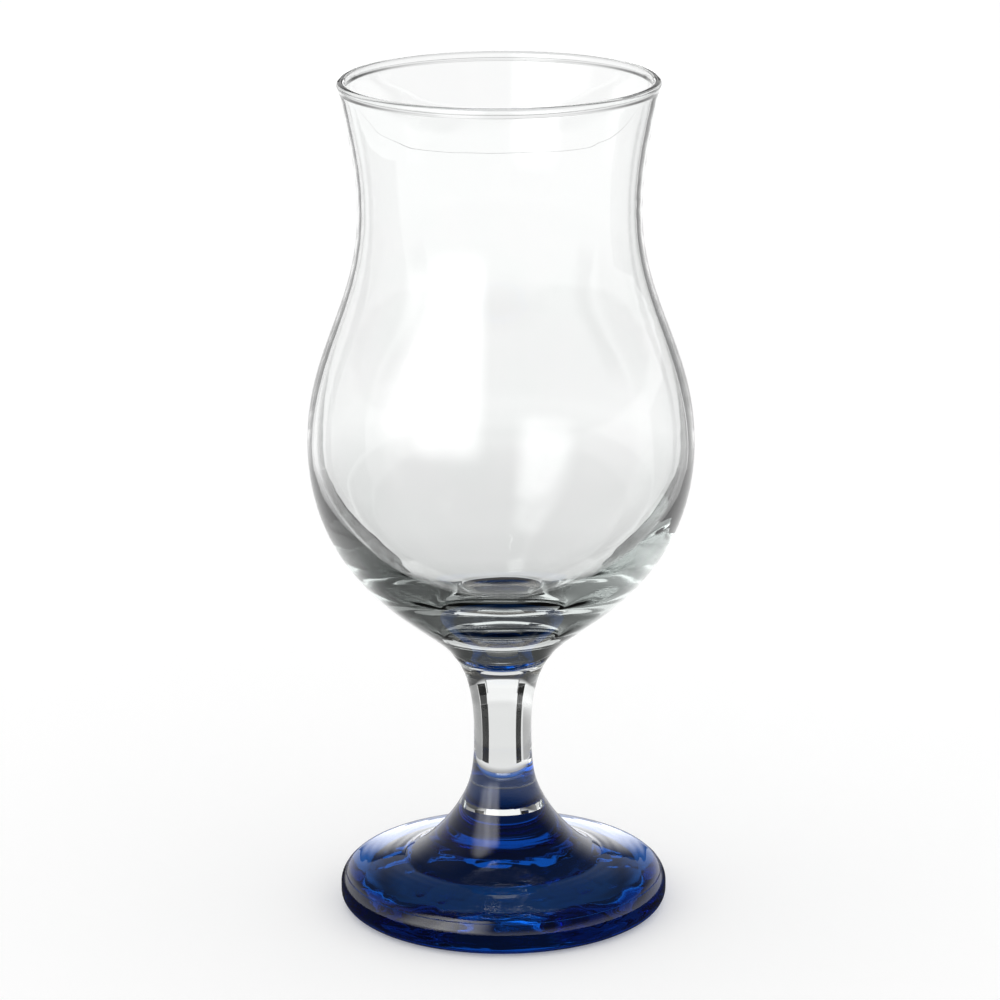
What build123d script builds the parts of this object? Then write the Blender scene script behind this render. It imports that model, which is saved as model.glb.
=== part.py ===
"""Footed hurricane glass: a clear blown bowl, a clear drawn stem and a cobalt blue pressed foot.

The three pieces of glass are fused end to end. Each is turned about the glass's own upright axis,
and neighbours share one domed seam. The origin is the centre of the foot, on the table.
"""
import os
from math import asin, cos, radians, sin

from build123d import *

# Driving dimensions, in millimetres and degrees, from the table upwards.

# Foot: a thick disc with a soft edge and a crowned top, which flares up into a short post.
foot_radius = 36.5
foot_heel_round = 3.2  # rounding between the side and the face that stands on the table
foot_side_height = 4.6  # top of the upright part of the side
foot_parting_rise = 2.9  # from there up to the faint ledge where the two halves of the mould met
foot_parting_inset = 1.0  # from the side of the foot in to the ledge
foot_parting_ledge = 0.3  # width of the ledge
foot_parting_slope = 56.0  # how steeply the edge falls past the ledge, in degrees
foot_shoulder_rise = 2.1  # from the ledge up to the edge of the crown
foot_shoulder_width = 4.2
foot_crown_rise = 1.4  # from the crown's edge up to the start of the flare
foot_flare_radius = 22.5  # where the crown turns up into the flare
foot_post_rise = 12.2  # from the start of the flare up to the joint with the stem
foot_ring_width = 4.0  # flat ring that touches the table
foot_hollow_depth = 3.0  # domed hollow under the foot

# Joint of foot and stem.
foot_joint_swell = 3.4  # how much wider the joint is than the stem's narrowest place, in radius
foot_joint_lean = 30.0
foot_joint_sag = 0.6  # how far the rounded tip of the stem reaches into the post

# Stem: narrowest half-way up, swelling down to the post and more slowly up to the bowl.
stem_radius = 6.4
stem_lower_length = 16.3  # from the joint with the foot up to the narrowest place
stem_upper_length = 19.2  # from the narrowest place up to the joint with the bowl

# Joint of stem and bowl.
bowl_joint_swell = 5.0  # how much wider the joint is than the stem's narrowest place, in radius
bowl_joint_lean = 34.0
bowl_joint_sag = 2.7  # how far the rounded bottom of the bowl reaches into the stem

# Bowl: a round belly, a drawn-in waist and a flared lip with a fire-polished bead.
belly_radius = 42.4
belly_rise = 47.8  # from the joint with the stem up to the widest place
waist_radius = 30.8
waist_rise = 52.0  # from the widest place up to the waist
rim_radius = 34.85  # outside of the bead
rim_rise = 28.5  # from the waist up to the top of the bead
rim_lean = 10.5
lip_wall = 1.4
rim_bead_swell = 0.25  # how far the bead stands proud of the lip on each side
waist_wall = 1.35
belly_wall = 1.9
floor_thickness = 12.5

# Fullness of the long curves, as shares of the height that each one climbs.
belly_fullness = 0.655  # the belly, on its way down
belly_foot_fullness = 0.175  # where the belly runs out into the stem
shoulder_fullness = 0.41  # belly to waist
throat_fullness = 0.37  # waist to rim
neck_fullness = 0.72  # the stem's narrowest place, on its way up
neck_head_fullness = 0.125  # where the stem runs out into the bowl
ankle_fullness = 0.55  # the stem's narrowest place, on its way down
ankle_end_fullness = 0.307  # where the stem runs out into the post
flare_fullness = 0.6  # the post, on its way down
flare_end_fullness = 0.217  # where the post runs out into the crown
crown_fullness = 0.4  # the crown, as a share of its width
crown_start_slope = 0.6  # the crown's slope next to the flare, as a share of its mean slope
crown_end_slope = 1.5  # its slope at the edge
edge_fullness = 0.35  # the soft edge of the foot, as a share of each curve's span
floor_fullness = 0.4  # the inside of the belly's floor, as a share of its radius

# Heights and radii that follow from the driving dimensions.
parting_height = foot_side_height + foot_parting_rise
crown_edge_height = parting_height + foot_shoulder_rise
flare_height = crown_edge_height + foot_crown_rise
foot_joint_height = flare_height + foot_post_rise
stem_waist_height = foot_joint_height + stem_lower_length
bowl_joint_height = stem_waist_height + stem_upper_length
belly_height = bowl_joint_height + belly_rise
waist_height = belly_height + waist_rise
glass_height = waist_height + rim_rise

parting_radius = foot_radius - foot_parting_inset
parting_inner_radius = parting_radius - foot_parting_ledge
crown_radius = parting_inner_radius - foot_shoulder_width
ring_outer_radius = foot_radius - foot_heel_round
ring_inner_radius = ring_outer_radius - foot_ring_width
rim_bead_radius = lip_wall / 2 + rim_bead_swell

# Points that neighbouring pieces share, as (radius, height) on the half section.
foot_joint_edge = Vector(stem_radius + foot_joint_swell, foot_joint_height)
foot_joint_tip = Vector(0, foot_joint_height - foot_joint_sag)
stem_waist = Vector(stem_radius, stem_waist_height)
bowl_joint_edge = Vector(stem_radius + bowl_joint_swell, bowl_joint_height)
bowl_joint_tip = Vector(0, bowl_joint_height - bowl_joint_sag)

up = Vector(0, 1)
down = Vector(0, -1)
outwards = Vector(1, 0)


def leaning(degrees):
    """Direction that climbs while it leans out from upright."""
    return Vector(sin(radians(degrees)), cos(radians(degrees)))


def leaning_down(degrees):
    """Direction that falls while it leans out from upright."""
    return Vector(sin(radians(degrees)), -cos(radians(degrees)))


def flowing_curve(start, start_heading, start_reach, end, end_heading, end_reach):
    """Smooth curve that leaves start and arrives at end along the given headings."""
    return Bezier(start, start + start_heading * start_reach, end - end_heading * end_reach, end)


def seam_arc(tip, edge):
    """Domed seam of two fused pieces, level at the axis."""
    return TangentArc(tip, edge, tangent=outwards)


# Foot
with BuildPart() as foot:
    with BuildSketch(Plane.XZ) as foot_section:
        crown_edge = Vector(crown_radius, crown_edge_height)
        flare_start = Vector(foot_flare_radius, flare_height)
        crown_width = crown_radius - foot_flare_radius
        crown_slope = foot_crown_rise / crown_width
        crown_start_lean = outwards + down * (crown_slope * crown_start_slope)
        crown_end_lean = outwards + down * (crown_slope * crown_end_slope)
        parting_lean = leaning_down(90 - foot_parting_slope)
        parting_inside = Vector(parting_inner_radius, parting_height)
        parting_outside = Vector(parting_radius, parting_height)
        side_top = Vector(foot_radius, foot_side_height)
        shoulder_reach = (parting_inside - crown_edge).length * edge_fullness
        side_reach = (side_top - parting_outside).length * edge_fullness
        with BuildLine() as foot_outline:
            seam_arc(foot_joint_tip, foot_joint_edge)
            flowing_curve(
                foot_joint_edge,
                leaning_down(foot_joint_lean),
                foot_post_rise * flare_fullness,
                flare_start,
                crown_start_lean.normalized(),
                foot_post_rise * flare_end_fullness,
            )
            flowing_curve(
                flare_start,
                crown_start_lean.normalized(),
                crown_width * crown_fullness,
                crown_edge,
                crown_end_lean.normalized(),
                crown_width * crown_fullness,
            )
            flowing_curve(
                crown_edge,
                crown_end_lean.normalized(),
                shoulder_reach,
                parting_inside,
                parting_lean,
                shoulder_reach,
            )
            Line(parting_inside, parting_outside)
            flowing_curve(parting_outside, parting_lean, side_reach, side_top, down, side_reach)
            side_bottom = Vector(foot_radius, foot_heel_round)
            Line(side_top, side_bottom)
            ring_outside = Vector(ring_outer_radius, 0)
            TangentArc(side_bottom, ring_outside, tangent=down)
            ring_inside = Vector(ring_inner_radius, 0)
            Line(ring_outside, ring_inside)
            hollow_top = Vector(0, foot_hollow_depth)
            seam_arc(hollow_top, ring_inside)
            Line(hollow_top, foot_joint_tip)
        make_face()
    revolve(axis=Axis.Z)
foot.part.label = "foot"

# Stem
with BuildPart() as stem:
    with BuildSketch(Plane.XZ) as stem_section:
        with BuildLine() as stem_outline:
            seam_arc(foot_joint_tip, foot_joint_edge)
            flowing_curve(
                stem_waist,
                down,
                stem_lower_length * ankle_fullness,
                foot_joint_edge,
                leaning_down(foot_joint_lean),
                stem_lower_length * ankle_end_fullness,
            )
            flowing_curve(
                stem_waist,
                up,
                stem_upper_length * neck_fullness,
                bowl_joint_edge,
                leaning(bowl_joint_lean),
                stem_upper_length * neck_head_fullness,
            )
            seam_arc(bowl_joint_tip, bowl_joint_edge)
            Line(bowl_joint_tip, foot_joint_tip)
        make_face()
    revolve(axis=Axis.Z)
stem.part.label = "stem"

# Bowl
with BuildPart() as bowl:
    with BuildSketch(Plane.XZ) as bowl_section:
        bead_centre = Vector(rim_radius - rim_bead_radius, glass_height - rim_bead_radius)
        bead_angle = asin(lip_wall / 2 / rim_bead_radius)
        bead_foot = rim_bead_radius * cos(bead_angle)
        lip_outside = bead_centre + Vector(lip_wall / 2, -bead_foot)
        lip_inside = bead_centre + Vector(-lip_wall / 2, -bead_foot)
        bead_top = bead_centre + up * rim_bead_radius
        waist_outside = Vector(waist_radius, waist_height)
        waist_inside = waist_outside - outwards * waist_wall
        belly_outside = Vector(belly_radius, belly_height)
        belly_inside = belly_outside - outwards * belly_wall
        floor_centre = bowl_joint_tip + up * floor_thickness
        lip_climb = lip_outside.Y - waist_height
        cavity_drop = belly_height - floor_centre.Y
        with BuildLine() as bowl_outline:
            seam_arc(bowl_joint_tip, bowl_joint_edge)
            flowing_curve(
                belly_outside,
                down,
                belly_rise * belly_fullness,
                bowl_joint_edge,
                -leaning(bowl_joint_lean),
                belly_rise * belly_foot_fullness,
            )
            flowing_curve(
                belly_outside,
                up,
                waist_rise * shoulder_fullness,
                waist_outside,
                up,
                waist_rise * shoulder_fullness,
            )
            flowing_curve(
                waist_outside,
                up,
                lip_climb * throat_fullness,
                lip_outside,
                leaning(rim_lean),
                lip_climb * throat_fullness,
            )
            ThreePointArc(lip_outside, bead_top, lip_inside)
            flowing_curve(
                waist_inside,
                up,
                lip_climb * throat_fullness,
                lip_inside,
                leaning(rim_lean),
                lip_climb * throat_fullness,
            )
            flowing_curve(
                belly_inside,
                up,
                waist_rise * shoulder_fullness,
                waist_inside,
                up,
                waist_rise * shoulder_fullness,
            )
            flowing_curve(
                belly_inside,
                down,
                cavity_drop * belly_fullness,
                floor_centre,
                -outwards,
                belly_inside.X * floor_fullness,
            )
            Line(floor_centre, bowl_joint_tip)
        make_face()
    revolve(axis=Axis.Z)
bowl.part.label = "bowl"

# One file for each piece of glass.
os.makedirs("parts", exist_ok=True)
for piece in (foot, stem, bowl):
    export_step(piece.part, f"parts/{piece.part.label}.step")
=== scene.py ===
import math

import bpy
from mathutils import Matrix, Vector


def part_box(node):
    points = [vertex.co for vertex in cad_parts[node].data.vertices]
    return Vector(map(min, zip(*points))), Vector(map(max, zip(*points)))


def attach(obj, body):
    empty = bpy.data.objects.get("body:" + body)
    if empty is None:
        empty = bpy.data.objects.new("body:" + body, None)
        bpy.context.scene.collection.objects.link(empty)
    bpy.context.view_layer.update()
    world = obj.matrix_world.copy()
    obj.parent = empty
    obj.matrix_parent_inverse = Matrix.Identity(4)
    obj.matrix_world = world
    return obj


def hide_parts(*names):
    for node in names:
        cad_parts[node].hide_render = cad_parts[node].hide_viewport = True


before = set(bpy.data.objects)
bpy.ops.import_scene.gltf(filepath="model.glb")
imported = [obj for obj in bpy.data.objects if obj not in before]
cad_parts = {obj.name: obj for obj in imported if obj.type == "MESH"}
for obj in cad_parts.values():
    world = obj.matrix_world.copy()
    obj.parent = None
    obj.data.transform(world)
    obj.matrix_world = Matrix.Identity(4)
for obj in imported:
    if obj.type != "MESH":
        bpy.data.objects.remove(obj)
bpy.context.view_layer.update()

# Foot: cobalt blue glass, pressed as a thick disc with a crowned top and drawn up into a short post.
# It stands on a flat ring, with a shallow hollow inside it, and carries the stem on its post.
# Outlines are half sections in millimetres: radius, height, handle before, handle after.
MM = 0.001
SPIN_STEPS = 256
SEAM_GAP = 0.02
MERGE_DISTANCE = 0.002
CREASE_ANGLE = 32
QUARTER_ROUND = 0.552
GLASS_BEND = 1.52
FUSED_BEND = 1.0

foot_smoothness = 26
foot_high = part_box("foot")[1] / MM
foot_radius = foot_high.x
foot_joint_height = foot_high.z
foot_joint_radius = 9.8
foot_joint_sag = 0.6
foot_weld_radius = 7.4
foot_weld_shift = 2.0
flare_start_radius = 22.5
flare_start_height = 11.0
crown_radius = 31.0
crown_height = 9.6
parting_inset = 1.0
parting_radius = foot_radius - parting_inset
parting_height = 7.5
parting_ledge = 0.3
parting_dip = 0.09
parting_fall = 0.16
side_height = 4.6
heel_round = 3.2
heel_reach = heel_round * QUARTER_ROUND
ring_radius = foot_radius - heel_round
hollow_radius = 29.3
hollow_depth = 3.0
wrinkle_grain = 7.0
wrinkle_height = 0.10
wrinkle_fade = 6.0
cobalt_dull = (0.035, 0.18, 0.64, 1)
cobalt_bright = (0.045, 0.23, 0.75, 1)
cobalt_through = (0.04, 0.67, 0.82, 1)
cobalt_density = 85.0
cobalt_ring_depth = 0.02


def draw_half_section(name, smoothness, knots):
    """Draws one piece's half section in the XZ plane as a Bezier outline and turns it into a mesh."""
    bpy.ops.object.select_all(action="DESELECT")
    bpy.ops.curve.primitive_bezier_curve_add()
    piece = bpy.context.object
    piece.name = name
    outline = piece.data.splines[0]
    outline.resolution_u = smoothness
    outline.bezier_points.add(len(knots) - 2)
    for point, (radius, height, before, after) in zip(outline.bezier_points, knots):
        place = Vector((radius, 0, height)) * MM
        point.handle_left_type = "FREE"
        point.handle_right_type = "FREE"
        point.co = place
        point.handle_left = place + Vector((before[0], 0, before[1])) * MM
        point.handle_right = place + Vector((after[0], 0, after[1])) * MM
    bpy.ops.object.convert(target="MESH")
    return piece


def spin_glass(piece):
    """Spins a half section once round the upright axis and closes it into a smooth solid."""
    bpy.ops.object.mode_set(mode="EDIT")
    bpy.ops.mesh.select_all(action="SELECT")
    bpy.ops.mesh.spin(steps=SPIN_STEPS, angle=math.tau, center=(0, 0, 0), axis=(0, 0, 1))
    bpy.ops.mesh.select_all(action="SELECT")
    bpy.ops.mesh.remove_doubles(threshold=MERGE_DISTANCE * MM)
    bpy.ops.mesh.normals_make_consistent(inside=False)
    bpy.ops.object.mode_set(mode="OBJECT")
    bpy.ops.object.shade_smooth_by_angle(angle=math.radians(CREASE_ANGLE))


def mark_seam(piece, mark, edge_radius, edge_height, sag, patch_radius, patch_shift):
    """Marks a round patch of a domed seam, on or off the axis, for the glass's material to read."""
    patch = piece.data.attributes.new(mark, "FLOAT", "FACE").data
    for face in piece.data.polygons:
        radius = math.hypot(face.center.x, face.center.y) / MM
        seam_height = edge_height - sag + sag * (radius / edge_radius) ** 2
        from_middle = math.hypot(face.center.x, face.center.y - patch_shift * MM) / MM
        if from_middle < patch_radius and abs(face.center.z / MM - seam_height) < 2 * SEAM_GAP:
            patch[face.index].value = 1.0


def ripple_glass(piece, area, pattern, grain, height):
    """Makes one area of a piece gently uneven, as glass is where no mould has polished it."""
    unevenness = bpy.data.textures.new(area.name, "MUSGRAVE")
    unevenness.musgrave_type = pattern
    unevenness.noise_scale = grain * MM
    bpy.ops.object.modifier_add(type="DISPLACE")
    ripple = piece.modifiers[-1]
    ripple.texture = unevenness
    ripple.texture_coords = "LOCAL"
    ripple.vertex_group = area.name
    ripple.direction = "Z"
    ripple.strength = height * MM
    bpy.ops.object.modifier_apply(modifier=ripple.name)


foot = draw_half_section("cobalt_foot", foot_smoothness, [
    (0, foot_joint_height - foot_joint_sag - SEAM_GAP, (0, 0), (foot_joint_radius / 3, 0)),
    (foot_joint_radius, foot_joint_height - SEAM_GAP,
     (-foot_joint_radius / 3, -foot_joint_sag * 2 / 3), (3.66, -6.34)),
    (flare_start_radius, flare_start_height, (-2.64, 0.26), (3.38, -0.33)),
    (crown_radius, crown_height, (-3.30, 0.82), (1.60, -0.39)),
    (parting_radius - parting_ledge, parting_height, (-0.92, 1.36), (0.045, -0.067)),
    (parting_radius - parting_ledge / 2, parting_height - parting_dip, (-0.07, 0), (0.07, 0)),
    (parting_radius, parting_height - parting_fall, (-0.045, 0.067), (0.60, -0.89)),
    (foot_radius, side_height, (0, 1.07), (0, -0.47)),
    (foot_radius, heel_round, (0, 0.47), (0, -heel_reach)),
    (ring_radius, 0, (heel_reach, 0), (-1.33, 0)),
    (hollow_radius, 0, (1.33, 0), (-hollow_radius / 6, hollow_depth / 3)),
    (hollow_radius / 2, hollow_depth * 3 / 4,
     (hollow_radius / 6, -hollow_depth / 6), (-hollow_radius / 6, hollow_depth / 6)),
    (0, hollow_depth, (hollow_radius / 6, 0), (0, 0)),
])
spin_glass(foot)
underside = foot.vertex_groups.new(name="underside")
for vertex in foot.data.vertices:
    radius = math.hypot(vertex.co.x, vertex.co.y) / MM
    if vertex.co.z / MM < hollow_depth + SEAM_GAP and radius < hollow_radius:
        underside.add([vertex.index], min(1, (hollow_radius - radius) / wrinkle_fade), "REPLACE")
ripple_glass(foot, underside, "RIDGED_MULTIFRACTAL", wrinkle_grain, wrinkle_height)
mark_seam(foot, "weld", foot_joint_radius, foot_joint_height - SEAM_GAP, foot_joint_sag,
          foot_weld_radius, foot_weld_shift)

cobalt = bpy.data.materials.new("pressed_cobalt")
cobalt.use_nodes = True
cobalt_nodes = cobalt.node_tree.nodes
cobalt_links = cobalt.node_tree.links
cobalt_shader = cobalt_nodes["Principled BSDF"]
cobalt_shader.inputs["Roughness"].default_value = 0.0
cobalt_shader.inputs["Transmission Weight"].default_value = 1.0
cobalt_place = cobalt_nodes.new("ShaderNodeTexCoord")
cobalt_swirl = cobalt_nodes.new("ShaderNodeTexNoise")
cobalt_swirl.inputs["Scale"].default_value = 70.0
cobalt_swirl.inputs["Detail"].default_value = 2.0
cobalt_swirl.inputs["Distortion"].default_value = 1.2
cobalt_links.new(cobalt_place.outputs["Object"], cobalt_swirl.inputs["Vector"])
cobalt_tint = cobalt_nodes.new("ShaderNodeValToRGB")
cobalt_tint.color_ramp.elements[0].position = 0.3
cobalt_tint.color_ramp.elements[0].color = cobalt_dull
cobalt_tint.color_ramp.elements[1].position = 0.7
cobalt_tint.color_ramp.elements[1].color = cobalt_bright
cobalt_links.new(cobalt_swirl.outputs["Fac"], cobalt_tint.inputs["Fac"])
cobalt_links.new(cobalt_tint.outputs["Color"], cobalt_shader.inputs["Base Color"])
cobalt_rings = cobalt_nodes.new("ShaderNodeTexWave")
cobalt_rings.wave_type = "RINGS"
cobalt_rings.rings_direction = "Z"
cobalt_rings.inputs["Scale"].default_value = 140.0
cobalt_rings.inputs["Distortion"].default_value = 2.0
cobalt_rings.inputs["Detail"].default_value = 1.0
cobalt_links.new(cobalt_place.outputs["Object"], cobalt_rings.inputs["Vector"])
cobalt_relief = cobalt_nodes.new("ShaderNodeBump")
cobalt_relief.inputs["Strength"].default_value = 0.5
cobalt_relief.inputs["Distance"].default_value = cobalt_ring_depth * MM
cobalt_links.new(cobalt_rings.outputs["Fac"], cobalt_relief.inputs["Height"])
cobalt_links.new(cobalt_relief.outputs["Normal"], cobalt_shader.inputs["Normal"])
cobalt_depth = cobalt_nodes.new("ShaderNodeVolumeAbsorption")
cobalt_depth.inputs["Color"].default_value = cobalt_through
cobalt_depth.inputs["Density"].default_value = cobalt_density
cobalt_links.new(cobalt_depth.outputs["Volume"], cobalt_nodes["Material Output"].inputs["Volume"])
cobalt_seam = cobalt_nodes.new("ShaderNodeAttribute")
cobalt_seam.attribute_name = "weld"
cobalt_bend = cobalt_nodes.new("ShaderNodeMapRange")
cobalt_bend.inputs["To Min"].default_value = GLASS_BEND
cobalt_bend.inputs["To Max"].default_value = FUSED_BEND
cobalt_links.new(cobalt_seam.outputs["Fac"], cobalt_bend.inputs["Value"])
cobalt_links.new(cobalt_bend.outputs["Result"], cobalt_shader.inputs["IOR"])
foot.data.materials.append(cobalt)
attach(foot, "root")
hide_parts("foot")

# Stem: clear glass, drawn out narrow above the post and cupped at its top to take the bowl.
# Its rounded lower tip is fused into the foot and its cup to the bottom of the bowl.
stem_smoothness = 24
stem_waist_radius = 6.4
stem_waist_height = 39.5
bowl_joint_radius = 11.4
bowl_joint_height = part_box("stem")[1].z / MM
bowl_joint_sag = 2.7
clear_faint = (0.985, 0.995, 0.99, 1)
clear_white = (1, 1, 1, 1)
clear_through = (0.88, 0.97, 0.94, 1)
clear_density = 8.0
clear_ring_depth = 0.01
# Painted shade: a grey tint on the faces where the stem's cup meets the bowl, which dims the foot's blue
# light seen through the bowl's base.
joint_shade_grey = (0.28, 0.26, 0.24, 1)

stem = draw_half_section("clear_stem", stem_smoothness, [
    (0, foot_joint_height - foot_joint_sag, (0, 0), (foot_joint_radius / 3, 0)),
    (foot_joint_radius, foot_joint_height,
     (-foot_joint_radius / 3, -foot_joint_sag * 2 / 3), (-2.50, 4.33)),
    (stem_waist_radius, stem_waist_height, (0, -9.0), (0, 13.8)),
    (bowl_joint_radius, bowl_joint_height - SEAM_GAP, (-1.34, -1.99),
     (-bowl_joint_radius / 3, -bowl_joint_sag * 2 / 3)),
    (0, bowl_joint_height - bowl_joint_sag - SEAM_GAP, (bowl_joint_radius / 3, 0), (0, 0)),
])
spin_glass(stem)
mark_seam(stem, "weld", foot_joint_radius, foot_joint_height, foot_joint_sag,
          foot_weld_radius, foot_weld_shift)
mark_seam(stem, "joint_shade", bowl_joint_radius, bowl_joint_height - SEAM_GAP, bowl_joint_sag,
          bowl_joint_radius, 0)

clear = bpy.data.materials.new("blown_clear")
clear.use_nodes = True
clear_nodes = clear.node_tree.nodes
clear_links = clear.node_tree.links
clear_shader = clear_nodes["Principled BSDF"]
clear_shader.inputs["Roughness"].default_value = 0.0
clear_shader.inputs["Transmission Weight"].default_value = 1.0
clear_place = clear_nodes.new("ShaderNodeTexCoord")
clear_streak = clear_nodes.new("ShaderNodeTexNoise")
clear_streak.inputs["Scale"].default_value = 45.0
clear_streak.inputs["Detail"].default_value = 2.0
clear_streak.inputs["Distortion"].default_value = 0.8
clear_links.new(clear_place.outputs["Object"], clear_streak.inputs["Vector"])
clear_tint = clear_nodes.new("ShaderNodeValToRGB")
clear_tint.color_ramp.elements[0].position = 0.3
clear_tint.color_ramp.elements[0].color = clear_faint
clear_tint.color_ramp.elements[1].position = 0.7
clear_tint.color_ramp.elements[1].color = clear_white
clear_links.new(clear_streak.outputs["Fac"], clear_tint.inputs["Fac"])
# Painted shade: the grey tint on the faces of the bowl's joint.
clear_joint_shade = clear_nodes.new("ShaderNodeAttribute")
clear_joint_shade.attribute_name = "joint_shade"
clear_colour = clear_nodes.new("ShaderNodeMix")
clear_colour.data_type = "RGBA"
clear_colour.inputs[7].default_value = joint_shade_grey
clear_links.new(clear_joint_shade.outputs["Fac"], clear_colour.inputs[0])
clear_links.new(clear_tint.outputs["Color"], clear_colour.inputs[6])
clear_links.new(clear_colour.outputs[2], clear_shader.inputs["Base Color"])
clear_rings = clear_nodes.new("ShaderNodeTexWave")
clear_rings.bands_direction = "Z"
clear_rings.inputs["Scale"].default_value = 60.0
clear_rings.inputs["Distortion"].default_value = 3.0
clear_rings.inputs["Detail"].default_value = 1.0
clear_links.new(clear_place.outputs["Object"], clear_rings.inputs["Vector"])
clear_relief = clear_nodes.new("ShaderNodeBump")
clear_relief.inputs["Strength"].default_value = 0.4
clear_relief.inputs["Distance"].default_value = clear_ring_depth * MM
clear_links.new(clear_rings.outputs["Fac"], clear_relief.inputs["Height"])
clear_links.new(clear_relief.outputs["Normal"], clear_shader.inputs["Normal"])
clear_depth = clear_nodes.new("ShaderNodeVolumeAbsorption")
clear_depth.inputs["Color"].default_value = clear_through
clear_depth.inputs["Density"].default_value = clear_density
clear_links.new(clear_depth.outputs["Volume"], clear_nodes["Material Output"].inputs["Volume"])
clear_seam = clear_nodes.new("ShaderNodeAttribute")
clear_seam.attribute_name = "weld"
clear_bend = clear_nodes.new("ShaderNodeMapRange")
clear_bend.inputs["To Min"].default_value = GLASS_BEND
clear_bend.inputs["To Max"].default_value = FUSED_BEND
clear_links.new(clear_seam.outputs["Fac"], clear_bend.inputs["Value"])
clear_links.new(clear_bend.outputs["Result"], clear_shader.inputs["IOR"])
stem.data.materials.append(clear)
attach(stem, "root")
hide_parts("stem")

# Bowl: clear blown glass with a thick floor, a round belly, a drawn-in waist and a flared lip.
# The lip ends in a fire-polished bead, and the rounded bottom sits in the stem's cup.
bowl_smoothness = 28
bowl_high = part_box("bowl")[1] / MM
belly_radius = bowl_high.x
belly_height = 106.5
belly_wall = 1.9
waist_radius = 30.8
waist_height = 158.5
waist_wall = 1.35
rim_height = bowl_high.z
bead_radius = 0.95
bead_centre = 33.9
bead_reach = bead_radius * QUARTER_ROUND
lip_height = 184.7
lip_outside = 34.46
lip_inside = 33.08
floor_height = 68.5
wave_grain = 16.0
wave_height = 0.12
wave_fade = 25.0

bowl = draw_half_section("clear_bowl", bowl_smoothness, [
    (0, bowl_joint_height - bowl_joint_sag, (0, 0), (bowl_joint_radius / 3, 0)),
    (bowl_joint_radius, bowl_joint_height,
     (-bowl_joint_radius / 3, -bowl_joint_sag * 2 / 3), (4.68, 6.94)),
    (belly_radius, belly_height, (0, -31.3), (0, 21.3)),
    (waist_radius, waist_height, (0, -21.3), (0, 10.0)),
    (lip_outside, lip_height, (-1.75, -9.5), (0.06, 0.32)),
    (bead_centre + bead_radius, rim_height - bead_radius, (0, -0.45), (0, bead_reach)),
    (bead_centre, rim_height, (bead_reach, 0), (-bead_reach, 0)),
    (bead_centre - bead_radius, rim_height - bead_radius, (0, bead_reach), (0, -0.45)),
    (lip_inside, lip_height, (0.06, 0.32), (-1.75, -9.5)),
    (waist_radius - waist_wall, waist_height, (0, 10.0), (0, -21.3)),
    (belly_radius - belly_wall, belly_height, (0, 21.3), (0, -24.9)),
    (0, floor_height, (16.2, 0), (0, 0)),
])
spin_glass(bowl)
# Marks the bowl's seam for the painted shade at the joint.
mark_seam(bowl, "joint_shade", bowl_joint_radius, bowl_joint_height, bowl_joint_sag, bowl_joint_radius, 0)
inside = bowl.vertex_groups.new(name="inside")
for vertex in bowl.data.vertices:
    height = vertex.co.z / MM
    if height < belly_height and vertex.normal.z > 0:
        inside.add([vertex.index], min(1, (belly_height - height) / wave_fade), "REPLACE")
ripple_glass(bowl, inside, "FBM", wave_grain, wave_height)
bowl.data.materials.append(clear)
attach(bowl, "root")
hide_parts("bowl")

# Floor: a wide white table top, which takes the glass's shadow where the camera sees it. What the glass
# mirrors of it is painted dark close round the foot, a painted shade. What the glass bends is painted
# grey near by, a painted shadow, with a painted bright ring for the light the heel gathers: the levels
# run outwards, each as a share of the reach and a level.
floor_size = 8
floor_drop = 0.0001
floor_colour = (0.8, 0.8, 0.8, 1)
floor_fill_light = 0.22
floor_reach = 0.110
# Painted shadow and painted light for bent rays: grey under the foot, dark rings round the heel, a bright
# ring for the light the heel gathers, then white.
floor_painted_levels = (
    (0.0, 0.19), (0.20, 0.21), (0.235, 0.10), (0.28, 0.87), (0.31, 0.87),
    (0.34, 0.075), (0.42, 0.44), (0.55, 1.0), (0.8, 1.0),
)
# Painted shade: what the glass bends of the floor is this grey out to the grey end, white beyond the
# white start.
floor_painted_grey = 0.8
floor_grey_end = 0.26
floor_white_start = 0.42
# Painted shade in what the glass mirrors: the floor is dark within the first distance of a point just
# before the glass, white beyond the second.
floor_mirror_middle = (0, -0.04, 0)
floor_mirror_shade = 0.04
floor_mirror_dark = 0.08
floor_mirror_white = 0.18

bpy.ops.mesh.primitive_plane_add(size=floor_size, location=(0, 0, -floor_drop))
floor = bpy.context.object
floor.name = "floor"
floor_paint = bpy.data.materials.new("floor_white")
floor_paint.use_nodes = True
floor_nodes = floor_paint.node_tree.nodes
floor_links = floor_paint.node_tree.links
floor_nodes.clear()
floor_rays = floor_nodes.new("ShaderNodeLightPath")
floor_bent = floor_nodes.new("ShaderNodeMath")
floor_bent.operation = "MAXIMUM"
floor_links.new(floor_rays.outputs["Is Glossy Ray"], floor_bent.inputs[0])
floor_links.new(floor_rays.outputs["Is Transmission Ray"], floor_bent.inputs[1])
floor_place = floor_nodes.new("ShaderNodeTexCoord")
floor_distance = floor_nodes.new("ShaderNodeVectorMath")
floor_distance.operation = "LENGTH"
floor_links.new(floor_place.outputs["Object"], floor_distance.inputs[0])
floor_share = floor_nodes.new("ShaderNodeMapRange")
floor_share.inputs["From Max"].default_value = floor_reach
floor_links.new(floor_distance.outputs["Value"], floor_share.inputs["Value"])
floor_shade = floor_nodes.new("ShaderNodeValToRGB")
floor_shade.color_ramp.interpolation = "EASE"
for stop, (share, level) in enumerate(floor_painted_levels):
    if stop > 1:
        floor_shade.color_ramp.elements.new(share)
    floor_shade.color_ramp.elements[stop].position = share
    floor_shade.color_ramp.elements[stop].color = (level, level, level, 1)
floor_links.new(floor_share.outputs["Result"], floor_shade.inputs["Fac"])
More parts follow.
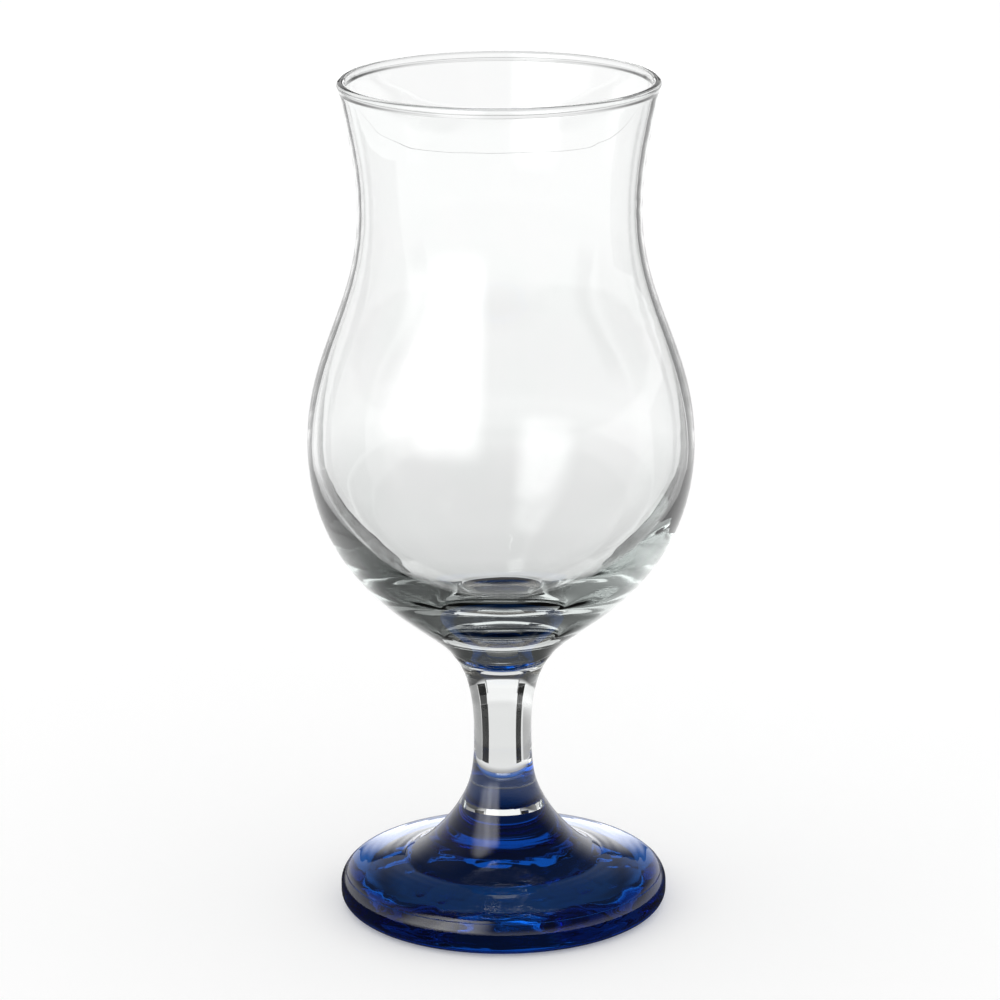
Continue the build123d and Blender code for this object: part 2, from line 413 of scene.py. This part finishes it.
floor_painted_mirror = floor_nodes.new("ShaderNodeMapRange")
floor_painted_mirror.interpolation_type = "SMOOTHSTEP"
floor_painted_mirror.inputs["From Min"].default_value = floor_mirror_dark
floor_painted_mirror.inputs["From Max"].default_value = floor_mirror_white
floor_painted_mirror.inputs["To Min"].default_value = floor_mirror_shade
floor_front = floor_nodes.new("ShaderNodeVectorMath")
floor_front.operation = "DISTANCE"
floor_front.inputs[1].default_value = floor_mirror_middle
floor_links.new(floor_place.outputs["Object"], floor_front.inputs[0])
floor_links.new(floor_front.outputs["Value"], floor_painted_mirror.inputs["Value"])
floor_level = floor_nodes.new("ShaderNodeMix")
floor_links.new(floor_rays.outputs["Is Transmission Ray"], floor_level.inputs["Factor"])
floor_links.new(floor_painted_mirror.outputs["Result"], floor_level.inputs["A"])
floor_far = floor_nodes.new("ShaderNodeMapRange")
floor_far.interpolation_type = "SMOOTHSTEP"
floor_far.inputs["From Min"].default_value = floor_grey_end
floor_far.inputs["From Max"].default_value = floor_white_start
floor_far.inputs["To Min"].default_value = floor_painted_grey
floor_links.new(floor_distance.outputs["Value"], floor_far.inputs["Value"])
floor_through = floor_nodes.new("ShaderNodeMath")
floor_through.operation = "MULTIPLY"
floor_links.new(floor_shade.outputs["Color"], floor_through.inputs[0])
floor_links.new(floor_far.outputs["Result"], floor_through.inputs[1])
floor_links.new(floor_through.outputs["Value"], floor_level.inputs["B"])
# The painted levels glow on the floor for mirrored and bent light only.
floor_painted_light = floor_nodes.new("ShaderNodeEmission")
floor_links.new(floor_level.outputs["Result"], floor_painted_light.inputs["Strength"])
floor_matt = floor_nodes.new("ShaderNodeBsdfDiffuse")
floor_matt.inputs["Color"].default_value = floor_colour
floor_fill = floor_nodes.new("ShaderNodeEmission")
floor_fill.inputs["Strength"].default_value = floor_fill_light
floor_seen = floor_nodes.new("ShaderNodeAddShader")
floor_links.new(floor_matt.outputs["BSDF"], floor_seen.inputs[0])
floor_links.new(floor_fill.outputs["Emission"], floor_seen.inputs[1])
floor_mix = floor_nodes.new("ShaderNodeMixShader")
floor_links.new(floor_bent.outputs["Value"], floor_mix.inputs["Fac"])
floor_links.new(floor_seen.outputs["Shader"], floor_mix.inputs[1])
floor_links.new(floor_painted_light.outputs["Emission"], floor_mix.inputs[2])
floor_out = floor_nodes.new("ShaderNodeOutputMaterial")
floor_links.new(floor_mix.outputs["Shader"], floor_out.inputs["Surface"])
floor.data.materials.append(floor_paint)

# Backdrop: white all round for the camera and for soft light. What the glass mirrors and bends is white
# only low down, under a dark hood that is lighter on the left and, for what it bends, lower at the sides.
# Heights are sines of the angle above the horizon, and sides are sines of the angle from straight on.
hood_start = 0.06
hood_end = 0.26
hood_shade = 0.07
mirror_hood_start = 0.05
mirror_hood_end = 0.55
hood_side_end = 0.11
hood_side_start = 0.3
hood_side_full = 0.7
hood_left_shade = 0.35
hood_left_start = -0.4
hood_left_full = -0.9

backdrop = bpy.data.worlds.new("backdrop_white")
bpy.context.scene.world = backdrop
backdrop.use_nodes = True
backdrop_nodes = backdrop.node_tree.nodes
backdrop_links = backdrop.node_tree.links
backdrop_rays = backdrop_nodes.new("ShaderNodeLightPath")
backdrop_bent = backdrop_nodes.new("ShaderNodeMath")
backdrop_bent.operation = "MAXIMUM"
backdrop_links.new(backdrop_rays.outputs["Is Glossy Ray"], backdrop_bent.inputs[0])
backdrop_links.new(backdrop_rays.outputs["Is Transmission Ray"], backdrop_bent.inputs[1])
backdrop_place = backdrop_nodes.new("ShaderNodeTexCoord")
backdrop_split = backdrop_nodes.new("ShaderNodeSeparateXYZ")
backdrop_links.new(backdrop_place.outputs["Generated"], backdrop_split.inputs["Vector"])
backdrop_hood = backdrop_nodes.new("ShaderNodeMapRange")
backdrop_hood.interpolation_type = "SMOOTHSTEP"
backdrop_hood.inputs["From Min"].default_value = hood_start
backdrop_low = backdrop_nodes.new("ShaderNodeMapRange")
backdrop_low.interpolation_type = "SMOOTHSTEP"
backdrop_low.inputs["From Min"].default_value = hood_side_start
backdrop_low.inputs["From Max"].default_value = hood_side_full
backdrop_low.inputs["To Min"].default_value = hood_end
backdrop_low.inputs["To Max"].default_value = hood_side_end
backdrop_aside = backdrop_nodes.new("ShaderNodeMath")
backdrop_aside.operation = "ABSOLUTE"
backdrop_links.new(backdrop_split.outputs["X"], backdrop_aside.inputs[0])
backdrop_links.new(backdrop_aside.outputs["Value"], backdrop_low.inputs["Value"])
backdrop_links.new(backdrop_low.outputs["Result"], backdrop_hood.inputs["From Max"])
backdrop_hood.inputs["To Min"].default_value = 1.0
backdrop_links.new(backdrop_split.outputs["Z"], backdrop_hood.inputs["Value"])
backdrop_side = backdrop_nodes.new("ShaderNodeMapRange")
backdrop_side.interpolation_type = "SMOOTHSTEP"
backdrop_side.inputs["From Min"].default_value = hood_left_start
backdrop_side.inputs["From Max"].default_value = hood_left_full
backdrop_side.inputs["To Min"].default_value = hood_shade
backdrop_side.inputs["To Max"].default_value = hood_left_shade
backdrop_links.new(backdrop_split.outputs["X"], backdrop_side.inputs["Value"])
backdrop_links.new(backdrop_side.outputs["Result"], backdrop_hood.inputs["To Max"])
backdrop_mirror = backdrop_nodes.new("ShaderNodeMapRange")
backdrop_mirror.interpolation_type = "SMOOTHSTEP"
backdrop_mirror.inputs["From Min"].default_value = mirror_hood_start
backdrop_mirror.inputs["From Max"].default_value = mirror_hood_end
backdrop_mirror.inputs["To Min"].default_value = 1.0
backdrop_links.new(backdrop_split.outputs["Z"], backdrop_mirror.inputs["Value"])
backdrop_links.new(backdrop_side.outputs["Result"], backdrop_mirror.inputs["To Max"])
backdrop_glass = backdrop_nodes.new("ShaderNodeMix")
backdrop_links.new(backdrop_rays.outputs["Is Transmission Ray"], backdrop_glass.inputs["Factor"])
backdrop_links.new(backdrop_mirror.outputs["Result"], backdrop_glass.inputs["A"])
backdrop_links.new(backdrop_hood.outputs["Result"], backdrop_glass.inputs["B"])
backdrop_level = backdrop_nodes.new("ShaderNodeMix")
backdrop_level.inputs["A"].default_value = 1.0
backdrop_links.new(backdrop_bent.outputs["Value"], backdrop_level.inputs["Factor"])
backdrop_links.new(backdrop_glass.outputs["Result"], backdrop_level.inputs["B"])
backdrop_light = backdrop_nodes["Background"]
backdrop_light.inputs["Color"].default_value = (1, 1, 1, 1)
backdrop_links.new(backdrop_level.outputs["Result"], backdrop_light.inputs["Strength"])

# Flags: dark cards that draw the glass's edges, seen only by light that went through it. Two black ones
# stand behind the glass to either side, with wedges on the table before them for the stem, and grey ones
# further round; the wedges are painted shade on the floor. Pale and side wedges run out softly, so that
# no edge looks like a level of drink.
flag_distance = 0.65
flag_height = 0.12
flag_shade = 0.02
left_angle = -24
left_half_angle = 5
right_angle = 27
right_half_angle = 7
wedge_near = 0.062
wedge_far = 0.30
wedge_lift = 0.0005
far_wedge_shade = 0.08
pale_angle = -55
pale_half_angle = 23
pale_far = 0.32
pale_shade = 0.42
pale_edge_shade = 0.83
grey_angle = 57
grey_half_angle = 22
grey_shade = 0.33
side_angle = 91
side_half_angle = 12
side_far = 0.25
side_edge_shade = 0.8


def card_paint(name, middle, edge, soft_sides, soft_bottom, soft_top):
    """Paints a card one light level, which runs out softly to another at its edges.

    Where the edge level is 0, the card only adds its light to what lies behind it.
    """
    paint = bpy.data.materials.new(name)
    paint.use_nodes = True
    nodes = paint.node_tree.nodes
    links = paint.node_tree.links
    nodes.clear()
    place = nodes.new("ShaderNodeTexCoord")
    split = nodes.new("ShaderNodeSeparateXYZ")
    links.new(place.outputs["UV"], split.inputs["Vector"])
    cover = None
    for axis, start, full in (
        ("X", 0, soft_sides), ("X", 1, 1 - soft_sides), ("Y", 0, soft_bottom), ("Y", 1, 1 - soft_top),
    ):
        fade = nodes.new("ShaderNodeMapRange")
        fade.interpolation_type = "SMOOTHSTEP"
        fade.inputs["From Min"].default_value = start
        fade.inputs["From Max"].default_value = full
        links.new(split.outputs[axis], fade.inputs["Value"])
        if cover is None:
            cover = fade.outputs["Result"]
            continue
        both = nodes.new("ShaderNodeMath")
        both.operation = "MULTIPLY"
        links.new(cover, both.inputs[0])
        links.new(fade.outputs["Result"], both.inputs[1])
        cover = both.outputs["Value"]
    level = nodes.new("ShaderNodeMapRange")
    level.inputs["To Min"].default_value = edge
    level.inputs["To Max"].default_value = middle
    links.new(cover, level.inputs["Value"])
    glow = nodes.new("ShaderNodeEmission")
    links.new(level.outputs["Result"], glow.inputs["Strength"])
    out = nodes.new("ShaderNodeOutputMaterial")
    if edge > 0:
        links.new(glow.outputs["Emission"], out.inputs["Surface"])
        return paint
    clear_sheet = nodes.new("ShaderNodeBsdfTransparent")
    glow_sheet = nodes.new("ShaderNodeAddShader")
    links.new(glow.outputs["Emission"], glow_sheet.inputs[0])
    links.new(clear_sheet.outputs["BSDF"], glow_sheet.inputs[1])
    links.new(glow_sheet.outputs["Shader"], out.inputs["Surface"])
    return paint


def add_card(name, corners, paint):
    """Stands one four-cornered card on the stage, out of the camera's sight."""
    bpy.ops.mesh.primitive_plane_add(size=1)
    card = bpy.context.object
    card.name = name
    for index, corner in zip((0, 1, 3, 2), corners):
        card.data.vertices[index].co = corner
    card.data.materials.append(paint)
    card.visible_camera = False
    card.visible_diffuse = False
    card.visible_shadow = False
    return card


def round_table(distance, degrees, height):
    """Point at a distance from the glass; 0 degrees is straight behind it."""
    turn = math.radians(degrees)
    return Vector((distance * math.sin(turn), distance * math.cos(turn), height))


def stand_card(name, distance, angle, half_angle, bottom, top, paint):
    """Stands a card on the table, facing the glass."""
    return add_card(name, [
        round_table(distance, angle - half_angle, bottom),
        round_table(distance, angle + half_angle, bottom),
        round_table(distance, angle + half_angle, top),
        round_table(distance, angle - half_angle, top),
    ], paint)


def lay_wedge(name, near, far, angle, half_angle, paint):
    """Lays a card on the table, pointing at the glass, as painted shade on the floor that only bent light
    sees.
    """
    return add_card(name, [
        round_table(near, angle - half_angle, wedge_lift),
        round_table(near, angle + half_angle, wedge_lift),
        round_table(far, angle + half_angle, wedge_lift),
        round_table(far, angle - half_angle, wedge_lift),
    ], paint)


black_paint = card_paint("flag_black", flag_shade, flag_shade, 0.1, 0.1, 0.1)
grey_paint = card_paint("wedge_grey", grey_shade, grey_shade, 0.1, 0.1, 0.1)
pale_paint = card_paint("wedge_pale", pale_shade, pale_edge_shade, 0.1, 0.01, 0.75)
far_paint = card_paint("wedge_far", far_wedge_shade, 1.0, 0.05, 0.01, 0.01)
side_paint = card_paint("wedge_side", flag_shade, side_edge_shade, 0.3, 0.01, 0.75)
flags = [
    stand_card("flag_left", flag_distance, left_angle, left_half_angle, 0, flag_height, black_paint),
    stand_card("flag_right", flag_distance, right_angle, right_half_angle, 0, flag_height, black_paint),
    lay_wedge("wedge_left", wedge_near, wedge_far, left_angle, left_half_angle, black_paint),
    lay_wedge("far_wedge_left", wedge_far, flag_distance, left_angle, left_half_angle, far_paint),
    lay_wedge("grey_left", wedge_near, pale_far, pale_angle, pale_half_angle, pale_paint),
    lay_wedge("wedge_right", wedge_near, wedge_far, right_angle, right_half_angle, black_paint),
    lay_wedge("far_wedge_right", wedge_far, flag_distance, right_angle, right_half_angle, far_paint),
    lay_wedge("grey_right", wedge_near, flag_distance, grey_angle, grey_half_angle, grey_paint),
    lay_wedge("side_wedge_left", wedge_near, side_far, -side_angle, side_half_angle, side_paint),
    lay_wedge("side_wedge_right", wedge_near, side_far, side_angle, side_half_angle, side_paint),
    stand_card(
        "grey_flag_right", flag_distance, grey_angle, grey_half_angle, 0, flag_height, grey_paint),
]
for flag in flags:
    flag.visible_glossy = False

# Sweep: a white card straight behind the glass, and a brighter one in the same place, which is mirrored
# at a glancing angle in the top of the foot.
sweep_distance = 0.9
sweep_half_angle = 19
sweep_height = 0.235
shine_half_angle = 14
shine_height = 0.34
shine_light = 3.2

sweep_paint = card_paint("sweep_white", 1.0, hood_shade, 0.05, 0.001, 0.15)
sweep = stand_card("sweep", sweep_distance, 0, sweep_half_angle, 0, sweep_height, sweep_paint)
sweep.visible_glossy = False
shine_paint = card_paint("shine_white", shine_light, hood_shade, 0.25, 0.001, 0.45)
shine = stand_card("shine_card", sweep_distance, 0, shine_half_angle, 0, shine_height, shine_paint)
shine.visible_transmission = False

# Softbox: one tall soft light to the left of the camera. The front of the bowl mirrors it upright, the
# back of the bowl upside down, and the post and flare of the foot carry it as a sheen. A second card
# further left widens what the outside of the glass mirrors.
window_distance = 1.0
window_angle = -149
window_half_angle = 25
window_height = 2.0
window_light = 3.0
sheen_angle = -124
sheen_half_angle = 26
sheen_light = 2.6

window_paint = card_paint("window_white", window_light, 0, 0.35, 0.12, 0.3)
stand_card("window", window_distance, window_angle, window_half_angle, 0, window_height, window_paint)
sheen_paint = card_paint("sheen_white", sheen_light, 0, 0.45, 0.12, 0.3)
sheen = stand_card(
    "sheen", window_distance, sheen_angle, sheen_half_angle, 0, window_height, sheen_paint)
sheen.visible_transmission = False

# Camera: a long lens, straight in front of the glass and higher than its rim, looking slightly down.
# It leans by a third of a degree. Light may pass many times from glass to air before it ends.
camera_place = (-0.0003, -0.9205, 0.3557)
camera_pitch = 74.09
camera_roll = -0.33
camera_lens = 156.8
camera_sensor = 36
glass_bounces = 32
mirror_bounces = 16

bpy.ops.object.camera_add(location=camera_place, rotation=(math.radians(camera_pitch), 0, 0))
camera = bpy.context.object
camera.name = "main_camera"
camera.rotation_euler.rotate_axis("Z", math.radians(camera_roll))
camera.data.sensor_width = camera_sensor
camera.data.lens = camera_lens
bpy.context.scene.camera = camera

bpy.context.scene.cycles.max_bounces = glass_bounces
bpy.context.scene.cycles.transmission_bounces = glass_bounces
bpy.context.scene.cycles.glossy_bounces = mirror_bounces
bpy.context.scene.cycles.use_denoising = True
bpy.context.scene.view_settings.view_transform = "Standard"
